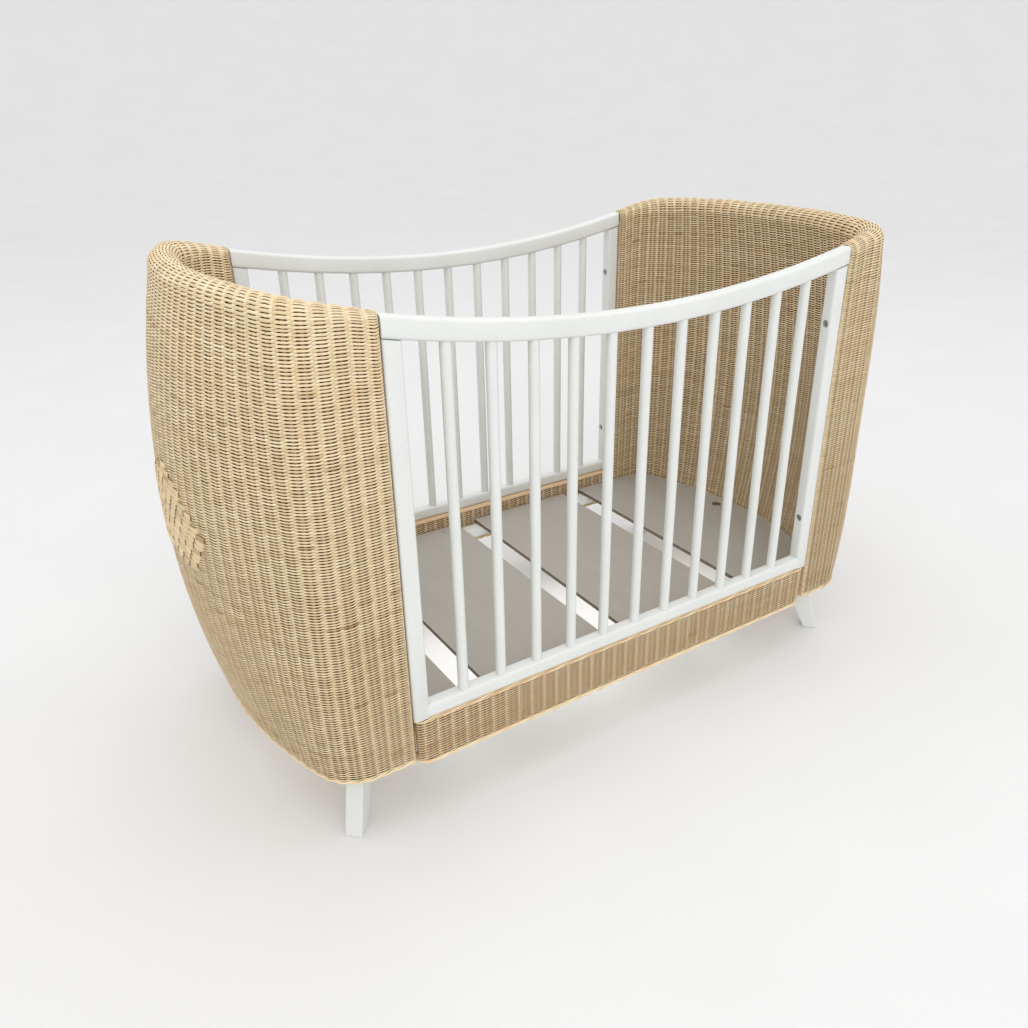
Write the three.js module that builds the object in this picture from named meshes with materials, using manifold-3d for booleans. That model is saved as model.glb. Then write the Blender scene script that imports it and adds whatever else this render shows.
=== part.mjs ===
// A baby crib: two bowed woven end shells joined by white slatted side frames, woven aprons below
// the frames, a lift-up base of four boards on battens, and four splayed legs.
// Millimetres. +X runs along the crib, +Y to its rear side, +Z up. The origin is on the floor, midway
// between the ends and the sides.
import * as THREE from 'three';
import { mergeGeometries, mergeVertices } from 'three/addons/utils/BufferGeometryUtils.js';
import Module from 'manifold-3d';

const wasm = await Module();
wasm.setup();

// ---- driving dimensions ----
const GAP = 0.3; // clearance between pieces that touch

// side frames
const RAIL_LENGTH = 900;
const FRAME_OUTER_Y = 336.6;
const FRAME_THICK = 24;
const POST_WIDTH = 28;
const BOTTOM_RAIL_Z = 203;
const BOTTOM_RAIL_HEIGHT = 24;
const TOP_RAIL_MID_Z = 763; // underside of the top rail, halfway along
const TOP_RAIL_RISE = 48; // how far that underside climbs to each end
const TOP_RAIL_HEIGHT = 32;
const SPINDLES_PER_SIDE = 11;
const SPINDLE_PITCH = 71;
const SPINDLE_DIAMETER = 18;
const SPINDLE_TENON = 8; // depth of the bored socket in each rail
const EDGE_ROUND = 5;

// bolts through the posts into the end shells
const BOLT_HEIGHTS = [317, 708];
const BOLT_HEAD_DIAMETER = 11;
const BOLT_RECESS_DIAMETER = 14;
const BOLT_RECESS_DEPTH = 7;
const BOLT_SHANK_DIAMETER = 6;
const BOLT_SHANK_IN_SHELL = 30;
const BOLT_HEX = 5; // across flats of the socket

// woven shells: each is a wall that bends round one end
const SHELL_START_X = RAIL_LENGTH / 2;
const SHELL_BOTTOM_Z = 126;
const SHELL_TOP_Z = 876;
const SHELL_TOP_AT_RAIL_Z = 846;
const RIM_CLIMB_RUN = 175; // along X, from the side rail to where the rim is level
const SHELL_OUTER_Y = 338.5;
const SHELL_INNER_Y = 303;
const SHELL_REACH = 691; // furthest X of the outer face
const SHELL_REACH_Z = 479.5; // height of that furthest point
const SHELL_BOW = 76.5; // how far the outer face draws in, per BOW_SPAN squared of height
const BOW_SPAN = 450;
const SHELL_END_RADIUS = 543; // plan radius of the end wall at its flattest
const SHELL_END_RADIUS_GAIN = 267; // and how much it grows, per RADIUS_SPAN squared of height
const RADIUS_SPAN = 360;
const RADIUS_Z = 495.5;
const SHELL_CORNER_RADIUS = 82;
const SHELL_INNER_CORNER_RADIUS = 78;
const SHELL_WALL = 52; // wall thickness across the end
const SHELL_FOOT_ROUND = 8;

// woven aprons under the side frames
const APRON_BOTTOM_Z = 112.5;
const APRON_CORNER = 16;
const APRON_ROUND = 6;

// lift-up base
const BASE_TOP_Z = 175;
const BOARD_THICK = 8.5;
const BOARD_HALF_Y = 298;
const BOARD_GAP = 48;
const INNER_BOARD_WIDTH = 260;
const BASE_HALF_X = 598;
const BASE_CORNER_RADIUS = 84;
const BASE_END_RADIUS = 757;
const VENT_DIAMETER = 22;
const VENT_INSET = 38;
const BATTEN_HALF_X = 465;
const BATTEN_WIDTH = 24;
const BATTEN_HEIGHT = 22;
const BATTEN_INSET = 8; // in from the boards' long edge

// legs, set diagonally under the corners
const LEG_FOOT = [561, 304]; // middle of the outer edge of each sole
const LEG_THICK = 30;
const LEG_SOLE = 29;
const LEG_OUTER_LEAN = 0.3;
const LEG_INNER_LEAN = 0.5;
const LEG_TOP_Z = 130;
const LEG_HEEL_ROUND = 10;

// beams that carry the legs, across the foot of each shell, and the bolts down into the legs
const BEAM_LOW_X = 470;
const BEAM_HIGH_X = 546;
const BEAM_CORNER = 50; // how far its outer corners are sawn off, to clear the wall's bend
const BEAM_HALF_Y = 301;
const LEG_BOLT_DIAMETER = 8;
const LEG_BOLT_HEAD = 14;
const LEG_BOLT_HEAD_LENGTH = 5;
const LEG_BOLT_RECESS = 8;
const LEG_BOLT_IN_LEG = 40;
const LEG_BOLT_INSET = 62; // from the sole's outer edge, along the corner's diagonal

const PAINT = { color: 0xe5e7e4, roughness: 0.45, metalness: 0 };
const RATTAN = { color: 0xd3bd92, roughness: 0.7, metalness: 0 };
const BOARD = { color: 0xaea79e, roughness: 0.6, metalness: 0 };
const TIMBER = { color: 0xc9b48c, roughness: 0.75, metalness: 0 };
const ZINC = { color: 0x8d9194, roughness: 0.35, metalness: 1 };

// ---- helpers ----
const crib = new THREE.Group();

function addPiece(name, geometry, finish) {
  const mesh = new THREE.Mesh(geometry, new THREE.MeshStandardMaterial(finish));
  mesh.name = name;
  crib.add(mesh);
  return mesh;
}

function solidFrom(geometry) {
  const bare = geometry.index ? geometry.toNonIndexed() : geometry.clone();
  bare.deleteAttribute('normal');
  bare.deleteAttribute('uv');
  const merged = mergeVertices(bare, 1e-3);
  return new wasm.Manifold(
    new wasm.Mesh({
      numProp: 3,
      vertProperties: merged.attributes.position.array,
      triVerts: new Uint32Array(merged.index.array),
    }),
  );
}

function geometryFrom(solid) {
  const mesh = solid.getMesh();
  const geometry = new THREE.BufferGeometry();
  geometry.setAttribute('position', new THREE.BufferAttribute(mesh.vertProperties, 3));
  geometry.setIndex(new THREE.BufferAttribute(mesh.triVerts, 1));
  return geometry;
}

function cut(body, ...tools) {
  const solid = tools.reduce((left, tool) => left.subtract(solidFrom(tool)), solidFrom(body));
  return geometryFrom(solid);
}

function join(...parts) {
  const solids = parts.map(solidFrom);
  return geometryFrom(solids.reduce((sum, solid) => sum.add(solid)));
}

function cylinder(diameter, length, axis, centre, sides = 16) {
  const geometry = new THREE.CylinderGeometry(diameter / 2, diameter / 2, length, sides);
  if (axis === 'x') geometry.rotateZ(-Math.PI / 2);
  if (axis === 'z') geometry.rotateX(Math.PI / 2);
  return geometry.translate(...centre);
}

function box(low, high) {
  const size = high.map((value, i) => value - low[i]);
  const centre = high.map((value, i) => (value + low[i]) / 2);
  return new THREE.BoxGeometry(...size).translate(...centre);
}

// A rectangle with rounded corners, as a shape centred on its origin.
function roundedRectangle(width, height, radius, steps = 3) {
  const shape = new THREE.Shape();
  const x = width / 2 - radius;
  const y = height / 2 - radius;
  const points = [];
  [[x, -y, -90], [x, y, 0], [-x, y, 90], [-x, -y, 180]].forEach(([cx, cy, start]) => {
    for (let i = 0; i <= steps; i += 1) {
      const angle = THREE.MathUtils.degToRad(start + (90 * i) / steps);
      points.push(new THREE.Vector2(cx + radius * Math.cos(angle), cy + radius * Math.sin(angle)));
    }
  });
  return shape.setFromPoints(points);
}

// A closed skin over a list of rings that hold the same number of points each, with flat ends.
function loft(rings) {
  const positions = rings.flat(2);
  const around = rings[0].length;
  const index = [];
  for (let r = 0; r + 1 < rings.length; r += 1) {
    for (let i = 0; i < around; i += 1) {
      const a = r * around + i;
      const b = r * around + ((i + 1) % around);
      index.push(a, b, b + around, a, b + around, a + around);
    }
  }
  const addEnd = (ring, first, isStart) => {
    const flat = ring.map((p) => new THREE.Vector2(p[1], p[2]));
    const turnsLeft = THREE.ShapeUtils.area(flat) > 0;
    THREE.ShapeUtils.triangulateShape(flat, []).forEach((corners) => {
      const leftHanded = THREE.ShapeUtils.area(corners.map((i) => flat[i])) > 0;
      const [a, b, c] = corners.map((i) => first + i);
      index.push(...((leftHanded === turnsLeft) === isStart ? [a, c, b] : [a, b, c]));
    });
  };
  addEnd(rings[0], 0, true);
  addEnd(rings.at(-1), (rings.length - 1) * around, false);
  const geometry = new THREE.BufferGeometry();
  geometry.setAttribute('position', new THREE.Float32BufferAttribute(positions, 3));
  geometry.setIndex(index);
  return geometry;
}

// Turns a geometry inside out if its faces point inwards.
function faceOut(geometry) {
  const position = geometry.attributes.position;
  const index = geometry.index.array;
  const [a, b, c] = [0, 1, 2].map(() => new THREE.Vector3());
  let volume = 0;
  for (let i = 0; i < index.length; i += 3) {
    [a, b, c].forEach((corner, k) => corner.fromBufferAttribute(position, index[i + k]));
    volume += a.dot(b.cross(c));
  }
  if (volume < 0) {
    for (let i = 0; i < index.length; i += 3) {
      [index[i + 1], index[i + 2]] = [index[i + 2], index[i + 1]];
    }
  }
  return geometry;
}

// ---- side frames ----
const railHalf = RAIL_LENGTH / 2;
const frameMidY = FRAME_OUTER_Y - FRAME_THICK / 2;
const bottomRailTop = BOTTOM_RAIL_Z + BOTTOM_RAIL_HEIGHT;
const postInnerX = railHalf - POST_WIDTH;
const topRailUnderside = (x) => TOP_RAIL_MID_Z + TOP_RAIL_RISE * (x / railHalf) ** 2;

function spindleX(i) {
  return (i - (SPINDLES_PER_SIDE + 1) / 2) * SPINDLE_PITCH;
}

function topRail(y) {
  const steps = 24;
  const section = roundedRectangle(FRAME_THICK, TOP_RAIL_HEIGHT, EDGE_ROUND).getPoints();
  const rings = Array.from({ length: steps + 1 }, (_, i) => {
    const x = railHalf * ((2 * i) / steps - 1);
    const middle = topRailUnderside(x) + TOP_RAIL_HEIGHT / 2;
    return section.map((p) => [x, y + p.x, middle + p.y]);
  });
  const sockets = Array.from({ length: SPINDLES_PER_SIDE }, (_, i) => {
    const x = spindleX(i + 1);
    const depth = SPINDLE_TENON + 10;
    const top = topRailUnderside(x) + SPINDLE_TENON;
    return cylinder(SPINDLE_DIAMETER, depth, 'z', [x, y, top - depth / 2], 12);
  });
  return cut(faceOut(loft(rings)), ...sockets);
}

function bottomRail(y) {
  const shape = roundedRectangle(FRAME_THICK, BOTTOM_RAIL_HEIGHT, EDGE_ROUND);
  const length = 2 * (postInnerX - GAP);
  const bar = new THREE.ExtrudeGeometry(shape, { depth: length, bevelEnabled: false, steps: 1 });
  bar.rotateX(Math.PI / 2).rotateZ(Math.PI / 2);
  bar.translate(-length / 2, y, BOTTOM_RAIL_Z + BOTTOM_RAIL_HEIGHT / 2);
  const sockets = Array.from({ length: SPINDLES_PER_SIDE }, (_, i) => {
    const depth = SPINDLE_TENON + 10;
    const centre = [spindleX(i + 1), y, bottomRailTop - SPINDLE_TENON + depth / 2];
    return cylinder(SPINDLE_DIAMETER, depth, 'z', centre, 12);
  });
  return cut(bar, ...sockets);
}

function post(side, y) {
  const shape = roundedRectangle(POST_WIDTH, FRAME_THICK, EDGE_ROUND);
  const height = topRailUnderside(railHalf) - BOTTOM_RAIL_Z + 5;
  const stick = new THREE.ExtrudeGeometry(shape, { depth: height, bevelEnabled: false });
  stick.translate(side * (railHalf - POST_WIDTH / 2), y, BOTTOM_RAIL_Z);
  const inner = side * postInnerX;
  const outer = side * railHalf;
  // the top is sawn to the slope of the rail above it
  const above = new THREE.Shape();
  above.moveTo(inner - side, topRailUnderside(postInnerX - 1) - GAP);
  above.lineTo(outer + side, topRailUnderside(railHalf + 1) - GAP);
  above.lineTo(outer + side, topRailUnderside(railHalf) + 60);
  above.lineTo(inner - side, topRailUnderside(railHalf) + 60);
  const saw = new THREE.ExtrudeGeometry(above, { depth: 40, bevelEnabled: false });
  saw.rotateX(Math.PI / 2).translate(0, y + 20, 0);
  const bores = BOLT_HEIGHTS.flatMap((z) => {
    const recessMid = side * (postInnerX + BOLT_RECESS_DEPTH / 2 - 1);
    const boreMid = side * (postInnerX + POST_WIDTH / 2);
    return [
      cylinder(BOLT_RECESS_DIAMETER, BOLT_RECESS_DEPTH + 2, 'x', [recessMid, y, z]),
      cylinder(BOLT_SHANK_DIAMETER + 1, POST_WIDTH + 4, 'x', [boreMid, y, z], 12),
    ];
  });
  return cut(stick, saw, ...bores);
}

function railBolt(side, y, z) {
  const headLength = 4.5;
  const seat = postInnerX + BOLT_RECESS_DEPTH - GAP;
  const shankEnd = railHalf + BOLT_SHANK_IN_SHELL;
  const head = cylinder(BOLT_HEAD_DIAMETER, headLength, 'x', [side * (seat - headLength / 2), y, z]);
  const shankMid = side * ((seat - 1 + shankEnd) / 2);
  const shank = cylinder(BOLT_SHANK_DIAMETER, shankEnd - seat + 1, 'x', [shankMid, y, z], 10);
  const hexDiameter = BOLT_HEX / Math.cos(Math.PI / 6);
  const socket = cylinder(hexDiameter, 6, 'x', [side * (seat - headLength), y, z], 6);
  return cut(join(head, shank), socket);
}

for (const [where, direction] of [['front', -1], ['rear', 1]]) {
  const y = direction * frameMidY;
  addPiece(`top_rail_${where}`, topRail(y), PAINT);
  addPiece(`bottom_rail_${where}`, bottomRail(y), PAINT);
  for (const [end, side] of [['left', -1], ['right', 1]]) {
    addPiece(`post_${where}_${end}`, post(side, y), PAINT);
    BOLT_HEIGHTS.forEach((z, i) => {
      const level = ['lower', 'upper'][i];
      addPiece(`bolt_${where}_${end}_${level}`, railBolt(side, y, z), ZINC);
    });
  }
  for (let i = 1; i <= SPINDLES_PER_SIDE; i += 1) {
    const x = spindleX(i);
    const low = bottomRailTop - SPINDLE_TENON + GAP;
    const high = topRailUnderside(x) + SPINDLE_TENON - GAP;
    const diameter = SPINDLE_DIAMETER - 2 * GAP;
    const rod = cylinder(diameter, high - low, 'z', [x, y, (low + high) / 2], 12);
    addPiece(`spindle_${where}_${String(i).padStart(2, '0')}`, rod, PAINT);
  }
}

// ---- woven shells ----
// The plan outline of a wall face at one height: along one side, round a corner, across the end on
// a wide arc, and back. Every outline has the same stations, so that faces can be lofted together.
const SIDE_STATIONS = 3;
const CORNER_STATIONS = 6;
const END_STATIONS = 12;

function outline(reach, halfWidth, endRadius, cornerRadius) {
  const run = Math.sqrt((endRadius - cornerRadius) ** 2 - (halfWidth - cornerRadius) ** 2);
  const cornerX = reach - endRadius + run;
  const turn = Math.atan2(halfWidth - cornerRadius, run);
  const half = [];
  for (let i = 0; i < SIDE_STATIONS; i += 1) {
    const x = SHELL_START_X + GAP + ((cornerX - SHELL_START_X - GAP) * i) / SIDE_STATIONS;
    half.push([x, -halfWidth]);
  }
  for (let i = 0; i <= CORNER_STATIONS; i += 1) {
    const angle = -Math.PI / 2 + ((Math.PI / 2 - turn) * i) / CORNER_STATIONS;
    const x = cornerX + cornerRadius * Math.cos(angle);
    half.push([x, cornerRadius * (1 + Math.sin(angle)) - halfWidth]);
  }
  for (let i = 1; i <= END_STATIONS / 2; i += 1) {
    const angle = -turn * (1 - (2 * i) / END_STATIONS);
    half.push([reach - endRadius + endRadius * Math.cos(angle), endRadius * Math.sin(angle)]);
  }
  const mirrored = half.slice(0, -1).reverse().map(([x, y]) => [x, -y]);
  return [...half, ...mirrored];
}

const outerReach = (z) => SHELL_REACH - SHELL_BOW * ((z - SHELL_REACH_Z) / BOW_SPAN) ** 2;
const endRadiusAt = (z) => {
  return SHELL_END_RADIUS + SHELL_END_RADIUS_GAIN * ((z - RADIUS_Z) / RADIUS_SPAN) ** 2;
};
const outerFace = (z) => {
  return outline(outerReach(z), SHELL_OUTER_Y, endRadiusAt(z), SHELL_CORNER_RADIUS);
};
const innerFace = (z) => {
  const reach = outerReach(z) - SHELL_WALL;
  return outline(reach, SHELL_INNER_Y, endRadiusAt(z), SHELL_INNER_CORNER_RADIUS);
};

// The rim climbs from the side rail to the full height of the end wall.
function rimHeight(x) {
  const climb = THREE.MathUtils.clamp((x - SHELL_START_X) / RIM_CLIMB_RUN, 0, 1);
  return SHELL_TOP_AT_RAIL_Z + (SHELL_TOP_Z - SHELL_TOP_AT_RAIL_Z) * (1 - (1 - climb) ** 1.5);
}

function shellGeometry() {
  const wallSteps = 9;
  const rimSteps = 6;
  const stations = outerFace(SHELL_TOP_Z).length;
  const rings = [];
  for (let s = 0; s < stations; s += 1) {
    const crown = rimHeight(outerFace(SHELL_TOP_Z)[s][0]);
    const spread = (z) => {
      const [ox, oy] = outerFace(z)[s];
      const [ix, iy] = innerFace(z)[s];
      return Math.hypot(ox - ix, oy - iy);
    };
    const rimRadius = spread(crown - 25) / 2;
    const rimZ = crown - rimRadius;
    const footZ = SHELL_BOTTOM_Z + SHELL_FOOT_ROUND;
    const ring = [];
    const place = (share, z) => {
      const [ox, oy] = outerFace(z)[s];
      const [ix, iy] = innerFace(z)[s];
      ring.push([ox + (ix - ox) * share, oy + (iy - oy) * share, z]);
    };
    for (let k = 0; k <= wallSteps; k += 1) {
      place(0, footZ + ((rimZ - footZ) * k) / wallSteps);
    }
    for (let k = 1; k < rimSteps; k += 1) {
      const angle = (Math.PI * k) / rimSteps;
      const [ox, oy] = outerFace(rimZ)[s];
      const [ix, iy] = innerFace(rimZ)[s];
      const share = (1 - Math.cos(angle)) / 2;
      const z = rimZ + rimRadius * Math.sin(angle);
      ring.push([ox + (ix - ox) * share, oy + (iy - oy) * share, z]);
    }
    for (let k = wallSteps; k >= 0; k -= 1) {
      place(1, footZ + ((rimZ - footZ) * k) / wallSteps);
    }
    const footShare = SHELL_FOOT_ROUND / spread(footZ);
    place(1 - 0.3 * footShare, footZ - 0.7 * SHELL_FOOT_ROUND);
    place(1 - footShare, SHELL_BOTTOM_Z);
    place(footShare, SHELL_BOTTOM_Z);
    place(0.3 * footShare, footZ - 0.7 * SHELL_FOOT_ROUND);
    rings.push(ring);
  }
  return faceOut(loft(rings));
}

function shell(side) {
  const wall = shellGeometry();
  const bores = [-1, 1].flatMap((direction) => BOLT_HEIGHTS.map((z) => {
    const length = BOLT_SHANK_IN_SHELL + 4;
    const centre = [railHalf + length / 2 - 1, direction * frameMidY, z];
    return cylinder(BOLT_SHANK_DIAMETER + 2 * GAP, length, 'x', centre, 10);
  }));
  const made = cut(wall, ...bores);
  if (side < 0) made.rotateZ(Math.PI);
  return made;
}

addPiece('end_shell_left', shell(-1), RATTAN);
addPiece('end_shell_right', shell(1), RATTAN);

// ---- woven aprons ----
function apron(direction) {
  const length = RAIL_LENGTH - 4 * GAP - 2 * APRON_ROUND;
  const height = BOTTOM_RAIL_Z - GAP - APRON_BOTTOM_Z - 2 * APRON_ROUND;
  const depth = SHELL_OUTER_Y - SHELL_INNER_Y;
  const shape = roundedRectangle(length, height, APRON_CORNER - APRON_ROUND, 4);
  const panel = new THREE.ExtrudeGeometry(shape, {
    depth: depth - 2 * APRON_ROUND,
    bevelThickness: APRON_ROUND,
    bevelSize: APRON_ROUND,
    bevelSegments: 3,
    steps: 1,
  });
  panel.translate(0, 0, -(depth - 2 * APRON_ROUND) / 2).rotateX(Math.PI / 2);
  const middle = (BOTTOM_RAIL_Z - GAP + APRON_BOTTOM_Z) / 2;
  return panel.translate(0, (direction * (SHELL_OUTER_Y + SHELL_INNER_Y)) / 2, middle);
}

addPiece('apron_front', apron(-1), RATTAN);
addPiece('apron_rear', apron(1), RATTAN);

// ---- lift-up base ----
function boardGeometry(lowX, highX) {
  const plan = new THREE.Shape();
  plan.setFromPoints([
    new THREE.Vector2(lowX, -BOARD_HALF_Y),
    new THREE.Vector2(highX, -BOARD_HALF_Y),
    new THREE.Vector2(highX, BOARD_HALF_Y),
    new THREE.Vector2(lowX, BOARD_HALF_Y),
  ]);
  const slab = new THREE.ExtrudeGeometry(plan, { depth: BOARD_THICK, bevelEnabled: false });
  return slab.translate(0, 0, BASE_TOP_Z - BOARD_THICK);
}

function endBoardGeometry(side, lowX) {
  const plan = new THREE.Shape();
  const corner = BASE_CORNER_RADIUS;
  const run = Math.sqrt((BASE_END_RADIUS - corner) ** 2 - (BOARD_HALF_Y - corner) ** 2);
  const cornerX = BASE_HALF_X - BASE_END_RADIUS + run;
  const turn = Math.atan2(BOARD_HALF_Y - corner, run);
  plan.moveTo(lowX, -BOARD_HALF_Y);
  plan.lineTo(cornerX, -BOARD_HALF_Y);
  plan.absarc(cornerX, corner - BOARD_HALF_Y, corner, -Math.PI / 2, -turn, false);
  plan.absarc(BASE_HALF_X - BASE_END_RADIUS, 0, BASE_END_RADIUS, -turn, turn, false);
  plan.absarc(cornerX, BOARD_HALF_Y - corner, corner, turn, Math.PI / 2, false);
  plan.lineTo(lowX, BOARD_HALF_Y);
  const vent = new THREE.Path();
  vent.absarc(BASE_HALF_X - VENT_INSET, 32, VENT_DIAMETER / 2, 0, 2 * Math.PI, true);
  plan.holes.push(vent);
  const slab = new THREE.ExtrudeGeometry(plan, {
    depth: BOARD_THICK,
    bevelEnabled: false,
    curveSegments: 8,
  });
  slab.translate(0, 0, BASE_TOP_Z - BOARD_THICK);
  if (side < 0) slab.rotateZ(Math.PI);
  return slab;
}

const innerLow = BOARD_GAP / 2;
const endBoardLow = innerLow + INNER_BOARD_WIDTH + BOARD_GAP;
addPiece('base_board_1', endBoardGeometry(-1, endBoardLow), BOARD);
addPiece('base_board_2', boardGeometry(-innerLow - INNER_BOARD_WIDTH, -innerLow), BOARD);
addPiece('base_board_3', boardGeometry(innerLow, innerLow + INNER_BOARD_WIDTH), BOARD);
addPiece('base_board_4', endBoardGeometry(1, endBoardLow), BOARD);

for (const [where, direction] of [['front', -1], ['rear', 1]]) {
  const top = BASE_TOP_Z - BOARD_THICK - GAP;
  const outerY = BOARD_HALF_Y - BATTEN_INSET;
  const ys = [direction * outerY, direction * (outerY - BATTEN_WIDTH)];
  const low = [-BATTEN_HALF_X, Math.min(...ys), top - BATTEN_HEIGHT];
  addPiece(`base_batten_${where}`, box(low, [BATTEN_HALF_X, Math.max(...ys), top]), PAINT);
}

// ---- legs and the beams that carry them ----
// The leg's outline lies in the vertical plane through its corner's diagonal: u runs outwards.
function legGeometry(sideX, sideY) {
  const profile = new THREE.Shape();
  const top = LEG_TOP_Z - GAP;
  profile.moveTo(0, 0);
  profile.lineTo(-LEG_OUTER_LEAN * top, top);
  profile.lineTo(-LEG_SOLE - LEG_INNER_LEAN * top, top);
  profile.lineTo(-LEG_SOLE - LEG_INNER_LEAN * LEG_HEEL_ROUND, LEG_HEEL_ROUND);
  profile.quadraticCurveTo(-LEG_SOLE, 0, -LEG_SOLE + LEG_HEEL_ROUND, 0);
  const depth = LEG_THICK - 6;
  const leg = new THREE.ExtrudeGeometry(profile, {
    depth,
    bevelThickness: 3,
    bevelSize: 3,
    bevelOffset: -3,
    bevelSegments: 2,
    curveSegments: 4,
  });
  leg.translate(0, 0, -depth / 2).rotateX(Math.PI / 2);
  leg.rotateZ(Math.atan2(sideY, sideX));
  return leg.translate(sideX * LEG_FOOT[0], sideY * LEG_FOOT[1], 0);
}

const beamTop = BASE_TOP_Z - BOARD_THICK - GAP;
const legBoltXY = LEG_FOOT.map((value) => value - LEG_BOLT_INSET * Math.SQRT1_2);

function legBore(diameter, low, high, x, y) {
  return cylinder(diameter, high - low, 'z', [x, y, (low + high) / 2], 12);
}

function beamGeometry(side) {
  const cutX = BEAM_HIGH_X - BEAM_CORNER;
  const cutY = BEAM_HALF_Y - BEAM_CORNER;
  const corners = [
    [BEAM_LOW_X, -BEAM_HALF_Y],
    [cutX, -BEAM_HALF_Y],
    [BEAM_HIGH_X, -cutY],
    [BEAM_HIGH_X, cutY],
    [cutX, BEAM_HALF_Y],
    [BEAM_LOW_X, BEAM_HALF_Y],
  ];
  const plan = new THREE.Shape(corners.map(([x, y]) => new THREE.Vector2(x, y)));
  const depth = beamTop - LEG_TOP_Z;
  const beam = new THREE.ExtrudeGeometry(plan, { depth, bevelEnabled: false });
  beam.translate(0, 0, LEG_TOP_Z);
  const [x, y] = legBoltXY;
  const bores = [-y, y].flatMap((at) => [
    legBore(LEG_BOLT_DIAMETER + 1, LEG_TOP_Z - 2, beamTop + 2, x, at),
    legBore(LEG_BOLT_HEAD + 3, beamTop - LEG_BOLT_RECESS, beamTop + 2, x, at),
  ]);
  const made = cut(beam, ...bores);
  if (side < 0) made.rotateZ(Math.PI);
  return made;
}

function legBoltGeometry(sideX, sideY) {
  const [x, y] = [sideX * legBoltXY[0], sideY * legBoltXY[1]];
  const seat = beamTop - LEG_BOLT_RECESS + GAP;
  const head = legBore(LEG_BOLT_HEAD, seat, seat + LEG_BOLT_HEAD_LENGTH, x, y);
  const shank = legBore(LEG_BOLT_DIAMETER, LEG_TOP_Z - LEG_BOLT_IN_LEG, seat + 1, x, y);
  return join(head, shank);
}

for (const [end, sideX] of [['left', -1], ['right', 1]]) {
  addPiece(`leg_beam_${end}`, beamGeometry(sideX), TIMBER);
  for (const [where, sideY] of [['front', -1], ['rear', 1]]) {
    const [x, y] = [sideX * legBoltXY[0], sideY * legBoltXY[1]];
    const bore = legBore(LEG_BOLT_DIAMETER + 2 * GAP, LEG_TOP_Z - LEG_BOLT_IN_LEG - 2, 140, x, y);
    addPiece(`leg_${where}_${end}`, cut(legGeometry(sideX, sideY), bore), PAINT);
    addPiece(`leg_bolt_${where}_${end}`, legBoltGeometry(sideX, sideY), ZINC);
  }
}

export default crib;
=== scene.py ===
"""A baby crib: woven rattan ends and aprons, white slatted sides, a boarded base and splayed legs."""

import math

import bmesh
import bpy
import numpy as np
from mathutils import Matrix, Vector


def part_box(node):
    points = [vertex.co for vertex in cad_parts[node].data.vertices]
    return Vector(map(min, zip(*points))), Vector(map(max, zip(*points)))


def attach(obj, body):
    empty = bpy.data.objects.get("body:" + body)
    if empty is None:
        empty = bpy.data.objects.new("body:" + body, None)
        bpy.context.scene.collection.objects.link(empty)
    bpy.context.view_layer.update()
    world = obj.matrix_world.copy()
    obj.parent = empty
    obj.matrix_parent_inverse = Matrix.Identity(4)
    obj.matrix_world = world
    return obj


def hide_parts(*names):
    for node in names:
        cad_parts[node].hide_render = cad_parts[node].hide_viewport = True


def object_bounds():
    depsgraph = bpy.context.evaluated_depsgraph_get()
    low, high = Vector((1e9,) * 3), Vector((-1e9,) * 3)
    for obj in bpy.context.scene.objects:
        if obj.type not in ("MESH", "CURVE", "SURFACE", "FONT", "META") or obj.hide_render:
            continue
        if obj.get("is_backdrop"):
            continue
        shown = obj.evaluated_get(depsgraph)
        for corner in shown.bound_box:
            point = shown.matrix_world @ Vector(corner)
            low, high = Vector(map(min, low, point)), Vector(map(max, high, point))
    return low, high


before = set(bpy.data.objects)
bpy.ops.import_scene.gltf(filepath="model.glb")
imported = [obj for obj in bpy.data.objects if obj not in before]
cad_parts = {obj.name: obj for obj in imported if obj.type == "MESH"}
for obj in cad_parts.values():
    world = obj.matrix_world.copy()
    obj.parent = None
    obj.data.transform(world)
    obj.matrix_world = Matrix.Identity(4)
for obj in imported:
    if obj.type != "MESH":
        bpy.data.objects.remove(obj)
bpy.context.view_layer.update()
rng = np.random.default_rng(7)


# ---------------------------------------------------------------- materials
def new_material(name):
    material = bpy.data.materials.new(name)
    material.use_nodes = True
    tree = material.node_tree
    shader = next(n for n in tree.nodes if n.type == "BSDF_PRINCIPLED")
    return material, tree, shader


def node(tree, kind, **settings):
    made = tree.nodes.new(kind)
    for key, value in settings.items():
        setattr(made, key, value)
    return made


def noise(tree, scale, detail=3.0, roughness=0.55, stretch=None):
    """Noise in object space, so that its scale is the same on every piece."""
    where = node(tree, "ShaderNodeTexCoord")
    made = node(tree, "ShaderNodeTexNoise")
    made.inputs["Scale"].default_value = scale
    made.inputs["Detail"].default_value = detail
    made.inputs["Roughness"].default_value = roughness
    if stretch is None:
        tree.links.new(where.outputs["Object"], made.inputs["Vector"])
    else:
        mapping = node(tree, "ShaderNodeMapping")
        mapping.inputs["Scale"].default_value = stretch
        tree.links.new(where.outputs["Object"], mapping.inputs["Vector"])
        tree.links.new(mapping.outputs["Vector"], made.inputs["Vector"])
    return made.outputs["Fac"]


def ramp(tree, factor, stops):
    made = node(tree, "ShaderNodeValToRGB")
    while len(made.color_ramp.elements) < len(stops):
        made.color_ramp.elements.new(0.5)
    for element, (place, colour) in zip(made.color_ramp.elements, stops):
        element.position = place
        element.color = (*colour, 1)
    tree.links.new(factor, made.inputs["Fac"])
    return made.outputs["Color"]


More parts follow.
